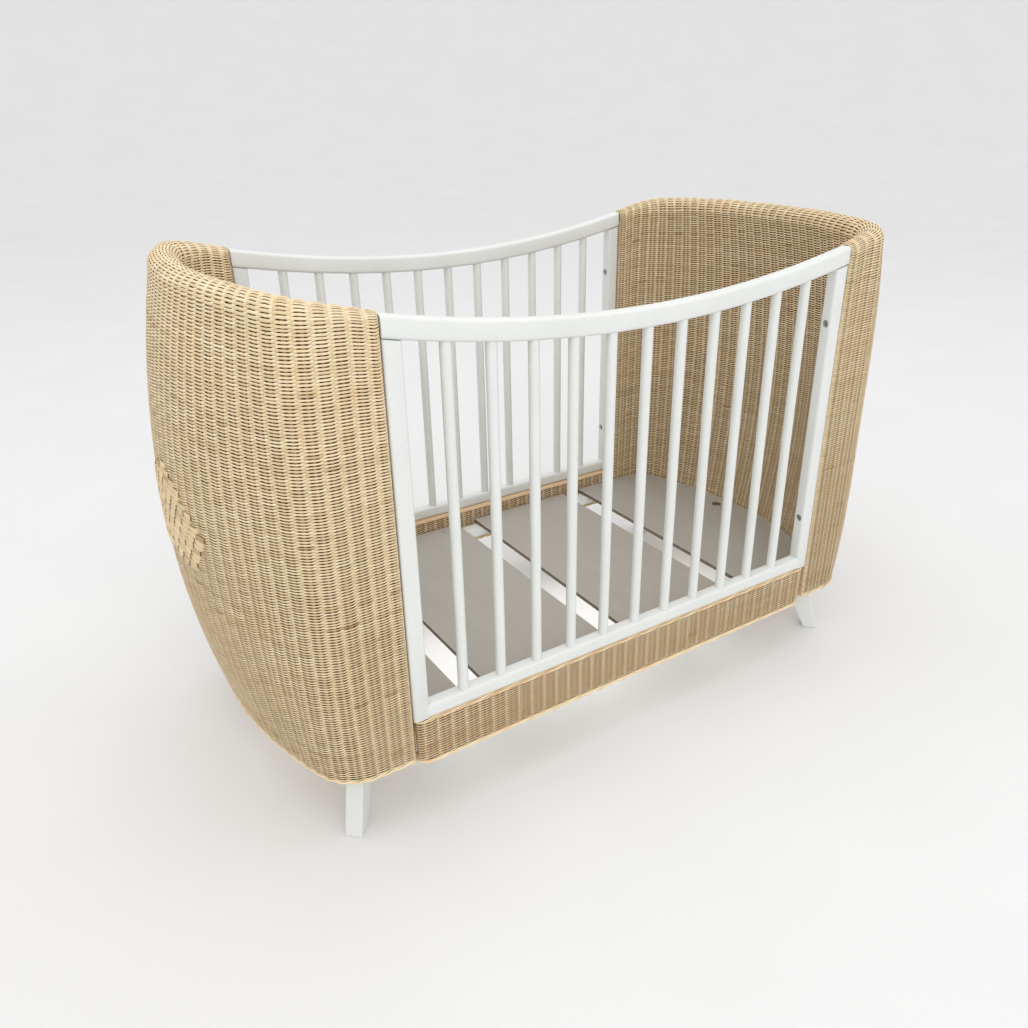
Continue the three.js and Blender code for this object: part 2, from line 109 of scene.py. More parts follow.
def mix(tree, factor, first, second, mode="MIX"):
    made = node(tree, "ShaderNodeMix", data_type="RGBA", blend_type=mode)
    for socket, value in (("Factor", factor), ("A", first), ("B", second)):
        target = next(i for i in made.inputs if i.name == socket and i.enabled)
        if isinstance(value, bpy.types.NodeSocket):
            tree.links.new(value, target)
        elif isinstance(value, (int, float)):
            target.default_value = value
        else:
            target.default_value = (*value, 1)
    return next(o for o in made.outputs if o.enabled)


def bump(tree, shader, height, strength, distance):
    made = node(tree, "ShaderNodeBump")
    made.inputs["Strength"].default_value = strength
    made.inputs["Distance"].default_value = distance
    tree.links.new(height, made.inputs["Height"])
    tree.links.new(made.outputs["Normal"], shader.inputs["Normal"])


def span(tree, factor, low, high):
    made = node(tree, "ShaderNodeMapRange")
    made.inputs["To Min"].default_value = low
    made.inputs["To Max"].default_value = high
    tree.links.new(factor, made.inputs["Value"])
    return made.outputs["Result"]


def srgb(*values):
    """Linear values of an 8-bit sRGB colour."""
    shares = [v / 255 for v in values]
    return tuple(s / 12.92 if s <= 0.04045 else ((s + 0.055) / 1.055) ** 2.4 for s in shares)


def paint_material():
    material, tree, shader = new_material("white_paint")
    cloud = noise(tree, 9, 4)
    colour = ramp(tree, cloud, [(0.3, srgb(218, 220, 217)), (0.7, srgb(224, 226, 223))])
    speck = noise(tree, 260, 2)
    fine = ramp(tree, speck, [(0.30, (0.93, 0.93, 0.92)), (0.42, (1, 1, 1))])
    tree.links.new(mix(tree, 0.6, colour, fine, "MULTIPLY"), shader.inputs["Base Color"])
    tree.links.new(span(tree, noise(tree, 30, 3), 0.36, 0.50), shader.inputs["Roughness"])
    bump(tree, shader, noise(tree, 120, 3, stretch=(1, 1, 0.35)), 0.18, 0.0006)
    shader.inputs["Coat Weight"].default_value = 0.15
    shader.inputs["Coat Roughness"].default_value = 0.3
    return material


def rattan_material(name, shift):
    """Split rattan: each strand has its own tone, with fibres, scattered brown marks and broad patches."""
    material, tree, shader = new_material(name)
    tone = node(tree, "ShaderNodeAttribute", attribute_name="tone").outputs["Fac"]
    base = ramp(
        tree,
        tone,
        [
            # the darkest stops are painted shade: the tucked strand tips and the stake rods are given these
            # low tones
            (0.0, srgb(112 + shift, 84, 56)),
            (0.15, srgb(186 + shift, 156, 118)),
            (0.3, srgb(218 + shift, 194, 156)),
            (0.6, srgb(234, 213, 176)),
            (1.0, srgb(246, 233, 202)),
        ],
    )
    patches = ramp(
        tree,
        noise(tree, 11, 3),
        [(0.32, srgb(244, 246, 232)), (0.5, (1, 1, 1)), (0.68, srgb(255, 241, 230))],
    )
    fibres = ramp(
        tree,
        noise(tree, 700, 3, 0.7),
        [(0.25, (0.72, 0.66, 0.58)), (0.5, (1, 1, 1)), (0.8, (1.0, 1.0, 0.97))],
    )
    marks = ramp(
        tree,
        noise(tree, 46, 2, stretch=(1, 1, 3.2)),
        [(0.235, srgb(204, 170, 132)), (0.29, (1, 1, 1))],
    )
    colour = mix(tree, 0.5, base, patches, "MULTIPLY")
    colour = mix(tree, 0.5, colour, fibres, "MULTIPLY")
    colour = mix(tree, 0.7, colour, marks, "MULTIPLY")
    tree.links.new(colour, shader.inputs["Base Color"])
    tree.links.new(span(tree, noise(tree, 200, 2), 0.5, 0.72), shader.inputs["Roughness"])
    bump(tree, shader, noise(tree, 1500, 2, 0.6), 0.25, 0.0003)
    shader.inputs["Specular IOR Level"].default_value = 0.2
    return material


# a dark brown sheet set behind the weave: painted shade of the hollow seen through the gaps
def shade_sheet_material():
    material, tree, shader = new_material("rattan_shade")
    colour = ramp(tree, noise(tree, 180, 4), [(0.3, srgb(96, 64, 36)), (0.7, srgb(126, 90, 56))])
    tree.links.new(colour, shader.inputs["Base Color"])
    tree.links.new(span(tree, noise(tree, 60, 2), 0.75, 0.95), shader.inputs["Roughness"])
    bump(tree, shader, noise(tree, 400, 3), 0.4, 0.001)
    shader.inputs["Specular IOR Level"].default_value = 0.05
    return material


def board_material():
    material, tree, shader = new_material("base_board")
    grain = noise(tree, 60, 5, 0.6, stretch=(1, 0.06, 1))
    colour = ramp(tree, grain, [(0.25, srgb(170, 165, 157)), (0.75, srgb(175, 171, 163))])
    cloud = ramp(tree, noise(tree, 5, 3), [(0.3, (0.95, 0.95, 0.95)), (0.7, (1, 1, 1))])
    tree.links.new(mix(tree, 0.8, colour, cloud, "MULTIPLY"), shader.inputs["Base Color"])
    tree.links.new(span(tree, noise(tree, 90, 3), 0.45, 0.62), shader.inputs["Roughness"])
    bump(tree, shader, grain, 0.12, 0.0004)
    return material


def board_edge_material():
    material, tree, shader = new_material("board_edge")
    grain = noise(tree, 300, 4, 0.65)
    colour = ramp(tree, grain, [(0.3, srgb(98, 86, 72)), (0.7, srgb(132, 118, 100))])
    tree.links.new(colour, shader.inputs["Base Color"])
    tree.links.new(span(tree, noise(tree, 90, 3), 0.6, 0.8), shader.inputs["Roughness"])
    bump(tree, shader, grain, 0.3, 0.0005)
    return material


def timber_material():
    material, tree, shader = new_material("bare_timber")
    grain = noise(tree, 45, 5, 0.6, stretch=(1, 0.05, 1))
    colour = ramp(tree, grain, [(0.3, srgb(188, 158, 112)), (0.7, srgb(214, 190, 146))])
    tree.links.new(colour, shader.inputs["Base Color"])
    tree.links.new(span(tree, grain, 0.6, 0.8), shader.inputs["Roughness"])
    bump(tree, shader, grain, 0.3, 0.0008)
    return material


def zinc_material():
    material, tree, shader = new_material("zinc")
    spangle = noise(tree, 420, 3)
    colour = ramp(tree, spangle, [(0.3, (0.34, 0.34, 0.35)), (0.7, (0.52, 0.53, 0.54))])
    tree.links.new(colour, shader.inputs["Base Color"])
    shader.inputs["Metallic"].default_value = 1.0
    tree.links.new(span(tree, spangle, 0.28, 0.46), shader.inputs["Roughness"])
    bump(tree, shader, spangle, 0.1, 0.0002)
    return material


def floor_material():
    material, tree, shader = new_material("studio_floor")
    colour = ramp(tree, noise(tree, 2.5, 2), [(0.3, (0.79, 0.79, 0.79)), (0.7, (0.81, 0.81, 0.81))])
    tree.links.new(colour, shader.inputs["Base Color"])
    shader.inputs["Roughness"].default_value = 0.8
    return material


PAINT = paint_material()
RATTAN = rattan_material("rattan_shell", 0)
RATTAN_APRON = rattan_material("rattan_apron", 10)
SHADE_SHEET = shade_sheet_material()
BOARD = board_material()
BOARD_EDGE = board_edge_material()
TIMBER = timber_material()
ZINC = zinc_material()


# ---------------------------------------------------------------- mesh building
def add_object(name, vertices, faces, material, body, replaces=(), tone=None, smooth=True):
    """A mesh object from an array of points and a list of face-index arrays, riding on a CAD body."""
    mesh = bpy.data.meshes.new(name)
    vertices = np.asarray(vertices, np.float32).reshape(-1, 3)
    faces = [np.asarray(f, np.int32) for f in faces if len(f)]
    loops = np.concatenate([f.ravel() for f in faces])
    sizes = np.concatenate([np.full(len(f), f.shape[1], np.int32) for f in faces])
    starts = np.concatenate([[0], np.cumsum(sizes)[:-1]]).astype(np.int32)
    mesh.vertices.add(len(vertices))
    mesh.vertices.foreach_set("co", vertices.ravel())
    mesh.loops.add(len(loops))
    mesh.loops.foreach_set("vertex_index", loops)
    mesh.polygons.add(len(sizes))
    mesh.polygons.foreach_set("loop_start", starts)
    mesh.update(calc_edges=True)
    mesh.validate()
    mesh.polygons.foreach_set("use_smooth", np.full(len(mesh.polygons), smooth))
    if tone is not None:
        mesh.attributes.new("tone", "FLOAT", "POINT").data.foreach_set("value", np.asarray(tone, np.float32))
    mesh.materials.append(material)
    made = bpy.data.objects.new(name, mesh)
    bpy.context.scene.collection.objects.link(made)
    if body:
        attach(made, body)
    if replaces:
        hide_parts(*replaces)
    return made


def baked(made, *modifiers):
    """Applies modifiers, each (type, settings), by taking the evaluated mesh."""
    for kind, settings in modifiers:
        modifier = made.modifiers.new(kind.lower(), kind)
        for key, value in settings.items():
            setattr(modifier, key, value)
    graph = bpy.context.evaluated_depsgraph_get()
    mesh = bpy.data.meshes.new_from_object(made.evaluated_get(graph))
    made.modifiers.clear()
    made.data = mesh
    return made


def soften(made, width, segments=3, angle=35):
    """Rounds the sharp edges and keeps the flats flat."""
    baked(
        made,
        (
            "BEVEL",
            {
                "width": width,
                "segments": segments,
                "limit_method": "ANGLE",
                "angle_limit": math.radians(angle),
                "harden_normals": False,
            },
        ),
    )
    made.data.polygons.foreach_set("use_smooth", np.full(len(made.data.polygons), True))
    made.data.update()
    baked(made, ("WEIGHTED_NORMAL", {"weight": 60, "keep_sharp": True}))
    return made


def cut_by(made, *tools):
    """Subtracts the tool objects and removes them."""
    for tool in tools:
        baked(made, ("BOOLEAN", {"object": tool, "operation": "DIFFERENCE", "solver": "EXACT"}))
        bpy.data.objects.remove(tool)
    return made


def ring_faces(rings, around):
    """Quads between rings of points, and an n-gon at each end."""
    r, i = np.meshgrid(np.arange(rings - 1), np.arange(around), indexing="ij")
    a = (r * around + i).ravel()
    b = (r * around + (i + 1) % around).ravel()
    quads = np.stack([a, b, b + around, a + around], 1)
    first = np.arange(around)[::-1][None]
    last = (rings - 1) * around + np.arange(around)[None]
    return [quads, first, last]


def facing_out(vertices, faces):
    """Turns the faces round if the closed mesh is inside out."""
    total = 0.0
    for group in faces:
        for k in range(1, group.shape[1] - 1):
            a, b, c = (vertices[group[:, j]] for j in (0, k, k + 1))
            total += np.einsum("ij,ij->", a, np.cross(b, c))
    return [g[:, ::-1] for g in faces] if total < 0 else faces


def rounded(width, height, radius, steps=5):
    """Points round a rectangle with rounded corners."""
    points = []
    for sx, sy, start in ((1, -1, -90), (1, 1, 0), (-1, 1, 90), (-1, -1, 180)):
        for i in range(steps + 1):
            a = math.radians(start + 90 * i / steps)
            x = sx * (width / 2 - radius) + radius * math.cos(a)
            points.append((x, sy * (height / 2 - radius) + radius * math.sin(a)))
    return np.array(points)


def swept(centres, across, up, section, scale=None):
    """Points of a section carried along centres; across and up are the section's two directions."""
    scale = np.ones(len(centres)) if scale is None else np.asarray(scale)
    centres = np.asarray(centres, float)[:, None]
    x = section[None, :, 0, None] * np.asarray(across, float)
    y = section[None, :, 1, None] * np.asarray(up, float)
    return (centres + (x + y) * scale[:, None, None]).reshape(-1, 3)


def rod(name, start, end, radius, sides, material, body, replaces=(), chamfer=0.0):
    """A round rod with slightly rounded ends."""
    start, end = np.array(start, float), np.array(end, float)
    axis = (end - start) / np.linalg.norm(end - start)
    side = np.cross(axis, (0, 1, 0) if abs(axis[1]) < 0.9 else (1, 0, 0))
    side /= np.linalg.norm(side)
    other = np.cross(axis, side)
    angle = np.linspace(0, 2 * math.pi, sides, endpoint=False)
    circle = np.stack([np.cos(angle), np.sin(angle)], 1) * radius
    if chamfer:
        centres = [start, start + axis * chamfer, end - axis * chamfer, end]
        scale = [1 - chamfer / radius, 1, 1, 1 - chamfer / radius]
    else:
        centres, scale = [start, end], [1, 1]
    points = swept(centres, side, other, circle, scale)
    faces = facing_out(points, ring_faces(len(centres), sides))
    return add_object(name, points, faces, material, body, replaces)


SHARP = math.radians(40)  # edges that turn more than this stay sharp


def by_angle(made):
    """Smooth shading that leaves sharp edges sharp."""
    work = bmesh.new()
    work.from_mesh(made.data)
    for edge in work.edges:
        if len(edge.link_faces) == 2:
            edge.smooth = edge.calc_face_angle(0) < SHARP
    work.to_mesh(made.data)
    work.free()
    return made


# ---------------------------------------------------------------- side frames
shell_low, shell_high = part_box("end_shell_right")
rail_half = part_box("top_rail_front")[1].x
post_low, post_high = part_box("post_front_right")
POST_WIDTH = post_high.x - post_low.x
FRAME_THICK = post_high.y - post_low.y
FRAME_Y = (post_high.y + post_low.y) / -2
rail_low, rail_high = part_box("top_rail_front")
RAIL_HEIGHT = 0.032
RAIL_MID = rail_low.z
RAIL_RISE = rail_high.z - RAIL_HEIGHT - rail_low.z
BOTTOM_LOW, BOTTOM_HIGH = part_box("bottom_rail_front")
RAIL_ROUNDING, POST_ROUNDING = 0.006, 0.005
RAIL_STEPS = 72
SPINDLES = 11
RECESS_RADIUS, RECESS_DEPTH = 0.007, 0.007
HEAD_RADIUS, HEAD_LENGTH = 0.0055, 0.0045
HEX_RADIUS, HEX_DEPTH = 0.0029, 0.003


def middle_height(node_name):
    low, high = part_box(node_name)
    return (low.z + high.z) / 2


BOLT_ZS = [middle_height(f"bolt_front_right_{level}") for level in ("lower", "upper")]


def rail_underside(x):
    return RAIL_MID + RAIL_RISE * (x / rail_half) ** 2


def bolt_recess(name, x, y, z, side):
    """A tool that cuts the round recess of a bolt into a post's inner side."""
    start, end = (x - side * 0.002, y, z), (x + side * RECESS_DEPTH, y, z)
    return rod(name, start, end, RECESS_RADIUS, 32, PAINT, None)


def rail_bolt(bolt, y, z, side):
    """The visible head of a rail bolt, with its hexagon socket."""
    head_low, head_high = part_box(bolt)
    outer = head_low.x if side > 0 else head_high.x
    start, end = (outer, y, z), (outer + side * HEAD_LENGTH, y, z)
    head = rod(f"{bolt}_head", start, end, HEAD_RADIUS, 32, ZINC, None, chamfer=0.0008)
    start, end = (outer - side * 0.001, y, z), (outer + side * HEX_DEPTH, y, z)
    cut_by(head, rod(f"{bolt}_hex", start, end, HEX_RADIUS, 6, ZINC, None))
    by_angle(head)
    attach(head, "crib_frame")
    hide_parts(bolt)


for where, way in (("front", -1), ("rear", 1)):
    y = way * FRAME_Y
    xs = np.linspace(-rail_half, rail_half, RAIL_STEPS + 1)
    xs = np.sort(np.concatenate([xs, [-rail_half + 0.0012, rail_half - 0.0012]]))
    centres = [(x, y, rail_underside(x) + RAIL_HEIGHT / 2) for x in xs]
    scale = np.ones(len(xs))
    scale[[0, -1]] = 0.94
    section = rounded(FRAME_THICK, RAIL_HEIGHT, RAIL_ROUNDING)
    points = swept(centres, (0, 1, 0), (0, 0, 1), section, scale)
    faces = facing_out(points, ring_faces(len(xs), len(section)))
    name = f"top_rail_{where}"
    by_angle(add_object(f"{name}_shaped", points, faces, PAINT, "crib_frame", [name]))

    # its ends cover the rounding of the posts' edges, so that the painted corner is flush
    ends = [BOTTOM_LOW.x - 0.0052, 0, BOTTOM_HIGH.x + 0.0052]
    z = (BOTTOM_LOW.z + BOTTOM_HIGH.z) / 2
    section = rounded(FRAME_THICK, BOTTOM_HIGH.z - BOTTOM_LOW.z, POST_ROUNDING)
    points = swept([(x, y, z) for x in ends], (0, 1, 0), (0, 0, 1), section)
    faces = facing_out(points, ring_faces(len(ends), len(section)))
    name = f"bottom_rail_{where}"
    by_angle(add_object(f"{name}_shaped", points, faces, PAINT, "crib_frame", [name]))

    for end, side in (("left", -1), ("right", 1)):
        name = f"post_{where}_{end}"
        x = side * (rail_half - POST_WIDTH / 2)
        section = rounded(POST_WIDTH, FRAME_THICK, POST_ROUNDING)
        foot = post_low.z
        zs = [foot, foot + 0.001, 0.3, 0.5, 0.7]
        points = swept([(x, y, zz) for zz in zs], (1, 0, 0), (0, 1, 0), section, [0.95, 1, 1, 1, 1])
        tops = np.array([(x + px, y + py, rail_underside(x + px) - 0.0004) for px, py in section])
        points = np.concatenate([points, tops])
        faces = facing_out(points, ring_faces(len(zs) + 1, len(section)))
        post = add_object(f"{name}_shaped", points, faces, PAINT, "crib_frame", [name])
        inner = x - side * POST_WIDTH / 2
        cut_by(post, *[bolt_recess(f"recess_{name}_{i}", inner, y, zz, side) for i, zz in enumerate(BOLT_ZS)])
        by_angle(post)
        for level, zz in zip(("lower", "upper"), BOLT_ZS):
            rail_bolt(f"bolt_{where}_{end}_{level}", y, zz, side)

    for i in range(1, SPINDLES + 1):
        name = f"spindle_{where}_{i:02d}"
        low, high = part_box(name)
        x, r = (low.x + high.x) / 2, (high.y - low.y) / 2
        start, end = (x, y, low.z), (x, y, high.z)
        by_angle(rod(f"{name}_turned", start, end, r, 28, PAINT, "crib_frame", [name], 0.0006))

# ---------------------------------------------------------------- woven surfaces
STAKES = 37  # uprights round one shell
ROW = 0.0045  # spacing of the woven rows
WALL_ROWS = 155
RIM_ROWS = 15
ROWS = 2 * WALL_ROWS + RIM_ROWS
WEAVE_FOOT = shell_low.z + 0.007
EVEN_BELOW = 0.605  # the rows are level up to here, then spread to follow the rim
HALF_OUT = shell_high.y
HALF_IN = 0.303
CORNER_OUT, CORNER_IN = 0.082, 0.078
START = shell_low.x
REACH = shell_high.x
RIM_TOP, RIM_AT_RAIL, RIM_CLIMB = shell_high.z, 0.846, 0.175
WALL = 0.052


def end_radius(z):
    """Plan radius of the end: tightest at mid height."""
    return 0.543 + 0.267 * ((z - 0.4955) / 0.36) ** 2


def reach_at(z):
    """How far out the end bows: most at mid height, least at the floor and the rim."""
    return REACH - 0.0765 * ((z - 0.4795) / 0.45) ** 2


def plan(s, z, reach, half, corner):
    """Point at share s of the way round one wall face, at height z."""
    radius = end_radius(z)
    run = np.sqrt((radius - corner) ** 2 - (half - corner) ** 2)
    corner_x = reach - radius + run
    turn = np.arctan2(half - corner, run)
    first = corner_x - START
    second = corner * (math.pi / 2 - turn)
    length = 2 * (first + second + radius * turn)
    along = np.where(s <= 0.5, s, 1 - s) * length
    bend = (along - first) / corner
    sweep = turn - (along - first - second) / radius
    x = np.where(along < first, START + along, corner_x + corner * np.sin(bend))
    y = np.where(along < first, half, half - corner + corner * np.cos(bend))
    x = np.where(along < first + second, x, reach - radius + radius * np.cos(sweep))
    y = np.where(along < first + second, y, radius * np.sin(sweep))
    return np.stack([x, np.where(s <= 0.5, -y, y)], -1)


def rounded_in(xy, radius):
    """Draws a face in where it meets the post, so that the wall has a rounded upright edge."""
    near = np.clip(1 - (xy[..., 0] - START) / radius, 0, 1)
    inward = radius * (1 - np.sqrt(1 - near**2))
    return xy - np.stack([0 * inward, np.sign(xy[..., 1]) * inward], -1)


def outer_face(s, z):
    return rounded_in(plan(s, z, reach_at(z), HALF_OUT, CORNER_OUT), 0.006)


def inner_face(s, z):
    xy = plan(s, z, reach_at(z) - WALL, HALF_IN, CORNER_IN)
    return 2 * xy - rounded_in(xy, 0.0105)


def shell_point(s, row):
    """Point on the shell's skin: up the outer face, over the rim and down the inner face."""
    s, row = np.broadcast_arrays(np.asarray(s, float), np.asarray(row, float))
    x = outer_face(s, np.full(s.shape, RIM_TOP))[..., 0]
    climb = np.clip((x - START) / RIM_CLIMB, 0, 1)
    crown = RIM_AT_RAIL + (RIM_TOP - RIM_AT_RAIL) * (1 - (1 - climb) ** 1.5)
    near_crown = crown - 0.025
    radius = np.linalg.norm(outer_face(s, near_crown) - inner_face(s, near_crown), axis=-1) / 2
    rim = crown - radius
    level = (EVEN_BELOW - WEAVE_FOOT) / ROW

    def height(count):
        spread = EVEN_BELOW + (count - level) / (WALL_ROWS - level) * (rim - EVEN_BELOW)
        return np.where(count < level, WEAVE_FOOT + count * ROW, spread)

    z_out = height(np.minimum(row, WALL_ROWS))
    z_in = height(np.minimum(ROWS - row, WALL_ROWS))
    angle = math.pi * np.clip((row - WALL_ROWS) / RIM_ROWS, 0, 1)
    share = ((1 - np.cos(angle)) / 2)[..., None]
    xy = outer_face(s, z_out) * (1 - share) + inner_face(s, z_in) * share
    on_rim = (row > WALL_ROWS) & (row < WALL_ROWS + RIM_ROWS)
    z = np.where(on_rim, rim + radius * np.sin(angle), np.where(row <= WALL_ROWS, z_out, z_in))
    return np.concatenate([xy, z[..., None]], -1)


def surface_frame(point, s, row):
    """Skin point, direction along the rows, direction up the stakes, outward normal and row spacing."""
    here = point(s, row)
    along = point(s + 0.0008, row) - point(s - 0.0008, row)
    along /= np.linalg.norm(along, axis=-1, keepdims=True)
    up = (point(s, row + 0.05) - point(s, row - 0.05)) / 0.1
    spacing = np.linalg.norm(up, axis=-1, keepdims=True)
    up = up / spacing
    out = np.cross(along, up)
    out /= np.linalg.norm(out, axis=-1, keepdims=True)
    return here, along, up, out, spacing


def strand_mesh(centres, first, second, radii, tips):
    """Many short closed strands at once: rings of five points, with a point at each end."""
    count, rings = centres.shape[:2]
    angle = (np.arange(5) * 2 * math.pi / 5 + 0.3)[None, None, :, None]
    offsets = np.cos(angle) * first[:, :, None] + np.sin(angle) * second[:, :, None]
    body = centres[:, :, None] + offsets * radii[:, :, None, None]
    body = body.reshape(count, rings * 5, 3)
    points = np.concatenate([body, tips], 1)
    each = rings * 5 + 2
    r, i = np.meshgrid(np.arange(rings - 1), np.arange(5), indexing="ij")
    a, b = (r * 5 + i).ravel(), (r * 5 + (i + 1) % 5).ravel()
    quads = np.stack([a, b, b + 5, a + 5], 1)
    ring = np.arange(5)
    start = np.stack([(ring + 1) % 5, ring, np.full(5, rings * 5)], 1)
    last = (rings - 1) * 5
    stop = np.stack([last + ring, last + (ring + 1) % 5, np.full(5, rings * 5 + 1)], 1)
    base = (np.arange(count) * each)[:, None, None]
    quads = (quads[None] + base).reshape(-1, 4)
    triangles = (np.concatenate([start, stop])[None] + base).reshape(-1, 3)
    return points.reshape(-1, 3), [quads, triangles], each


rng_row = rng.standard_normal((512, 4))
# places along a strand, as shares of the step between stakes, how tall it is there, and its two tips
ALONG_STRAND = np.array([-0.5, -0.38, -0.27, 0.0, 0.27, 0.38, 0.5])
TALL = np.array([1.35, 1.6, 1.0, 1.0, 1.0, 1.6, 1.35])
TIPS = np.array([-0.64, 0.64])
TURN_FROM, TURN_OVER, TURN_ROWS = 0.24, 0.30, 0.27  # where a strand leaves its row, and how far it goes
SKIN_DEPTH = 0.0013  # of a strand's middle line in front of a stake
FLAT = 0.28  # thickness of a strand as a share of its height
STAKE_DEPTH = 0.0034


def woven(point, rows, stake_at, step, depth, rim_lift, girth, closed):
    """One short strand for each stake and row.

    It passes flat in front of its stake, then spreads and turns in, down on its left and up on its right, so
    that its ends go behind the strands beside it.
    """
    r, k = np.meshgrid(rows, np.arange(len(stake_at)), indexing="ij")
    r, k = r.ravel(), k.ravel()
    first, last = (k == 0) & (not closed), (k == len(stake_at) - 1) & (not closed)
    wander = 0.10 * np.sin(k * 0.55 + rng_row[r % 512, 0] * 6.3) + 0.05 * rng.standard_normal(len(r))
    lift = rim_lift(r)

    def place(sig):
        s = stake_at[k][:, None] + sig[None] * step[k][:, None]
        edge = 0.0002
        s = s if closed else np.clip(s, edge, 1 - edge)
        rise = np.clip((np.abs(sig) - TURN_FROM) / TURN_OVER, 0, 1)
        turn = np.sign(sig) * rise**2 * (3 - 2 * rise)
        row = r[:, None] + 0.5 + TURN_ROWS * turn[None] + 0.35 * wander[:, None] * np.cos(math.pi * sig)[None]
        deep = np.cos(math.pi * sig)[None] * (depth + lift)[:, None] - depth - SKIN_DEPTH
        deep = deep - 0.0019 * (np.abs(sig) > 0.55)[None]
        at_edge = (first[:, None] & (sig < -0.4)[None]) | (last[:, None] & (sig > 0.4)[None])
        deep = np.where(at_edge, -0.0016 if abs(sig[0]) == 0.5 else -0.0060, deep)
        here, _, up, out, spacing = surface_frame(point, s, row)
        return here + out * deep[..., None], up, out, spacing[..., 0]

    centres, up, out, spacing = place(ALONG_STRAND)
    tips, *_ = place(TIPS)
    thick = (girth(r) + 55 * lift) * (1 + 0.05 * rng.standard_normal(len(r)))
    radii = spacing * thick[:, None]
    points, faces, each = strand_mesh(centres, out * FLAT, up * TALL[None, :, None], radii, tips)
    tone = 0.57 + 0.09 * rng_row[r % 512, 1 + k % 2] + 0.06 * np.sin(k * 0.37 + 5 * rng_row[r % 512, 3])
    tone = np.clip(tone + 0.07 * rng.standard_normal(len(r)), 0.15, 1)
    # the tips lie behind their neighbours; tone 0 paints them dark brown, as painted shade of that recess
    tone = np.repeat(tone[:, None], each, 1)
    tone[:, -2:] = 0
    return points, faces, tone.ravel()


def twisted(point, s, row, depth, radius, turn, reach):
    """One of two long strands that follow the surface and twist round each other."""
    here, _, up, out, _ = surface_frame(point, s, np.full(len(s), row))
    centre = here + out * depth
    centre = centre + reach * (np.cos(turn)[:, None] * out + np.sin(turn)[:, None] * up)
    angle = (np.arange(6) * 2 * math.pi / 6)[None, :, None]
    ring = np.cos(angle) * out[:, None] + np.sin(angle) * up[:, None]
    scale = np.full(len(s), radius)
    scale[[0, -1]] *= 0.5
    return (centre[:, None] + ring * scale[:, None, None]).reshape(-1, 3), ring_faces(len(s), 6)


def stake_rods(point, places, rows, apart, radius):
    """Stakes of three thin rods side by side, behind the strands."""
    parts = []
    angle = (np.arange(5) * 2 * math.pi / 5)[None, :, None]
    for place in places:
        for offset in (-apart, 0.0, apart):
            here, along, _, out, _ = surface_frame(point, np.full(len(rows), place), rows)
            centre = here - out * STAKE_DEPTH + along * offset
            ring = np.cos(angle) * along[:, None] + np.sin(angle) * out[:, None]
            parts.append(((centre[:, None] + ring * radius).reshape(-1, 3), ring_faces(len(rows), 5)))
    return parts


def painted_hollow(point, grid_s, grid_r, depth):
    """A dark sheet behind the strands, painted shade of the hollow that shows between them, as points and
    faces.
    """
    here, _, _, out, _ = surface_frame(point, grid_s, grid_r)
    points = (here - out * depth).reshape(-1, 3)
    return points, facing_out(points, ring_faces(*grid_s.shape))


def tube_along(points, radius, sides=6):
    """A long closed strand through points."""
    points = np.asarray(points, float)
    along = np.gradient(points, axis=0)
    along /= np.linalg.norm(along, axis=1, keepdims=True)
    side = np.cross(along, (0, 0, 1.0))
    side /= np.maximum(np.linalg.norm(side, axis=1, keepdims=True), 1e-9)
    up = np.cross(side, along)
    angle = np.arange(sides) * 2 * math.pi / sides
    ring = np.cos(angle)[None, :, None] * side[:, None] + np.sin(angle)[None, :, None] * up[:, None]
    return (points[:, None] + ring * radius).reshape(-1, 3), ring_faces(len(points), sides)


def merged(parts):
    """Joins (points, faces) pairs, turning each to face out."""
    points, groups, start = [], {}, 0
    for vertices, faces in parts:
        for group in facing_out(vertices, faces):
            groups.setdefault(group.shape[1], []).append(group + start)
        points.append(vertices)
        start += len(vertices)
    return np.concatenate(points), [np.concatenate(g) for g in groups.values()]


def turned(points, side):
    return points * np.array([side, side, 1.0]) if side < 0 else points


# the stakes stand a little closer together by the posts
even = (np.arange(STAKES) + 0.36) / (STAKES - 0.28)
stake_at = even - 0.06 * np.sin(2 * math.pi * even) / (2 * math.pi)
stake_step = np.gradient(stake_at)


def shell_rim_lift(r):
    """The strands bulge a little more over the rim."""
    from_crown = np.abs(r + 0.5 - WALL_ROWS - RIM_ROWS / 2)
    return 0.0010 * np.clip(1 - from_crown / (RIM_ROWS / 2 + 1.5), 0, 1) ** 0.5


def shell_girth(r, side):
    """Half a strand's height as a share of the row: the weave is closer near the rim and on the left end."""
    rows = [0, 60, 106, WALL_ROWS, WALL_ROWS + RIM_ROWS, WALL_ROWS + RIM_ROWS + 12]
    return np.interp(r, rows, [0.235, 0.275, 0.325, 0.365, 0.340, 0.325]) * (0.80 if side > 0 else 1.0)


PANEL_HALF, PANEL_LOW, PANEL_SIDE, PANEL_RISE = 0.146, 0.438, 0.494, 0.096
PANEL_FLAT = 0.62  # share of its half width along which the panel's lower edge is level


def in_patch(y, z):
    """The panel of flat strips on the outside of the left end."""
    across = abs(y) / PANEL_HALF
    top = PANEL_SIDE + PANEL_RISE * (1 - across**1.6)
    climb = (PANEL_SIDE - PANEL_LOW) * (across - PANEL_FLAT) / (1 - PANEL_FLAT)
    bottom = np.where(across < PANEL_FLAT, PANEL_LOW, PANEL_LOW + climb)
    return (across < 1) & (z < top) & (z > bottom)


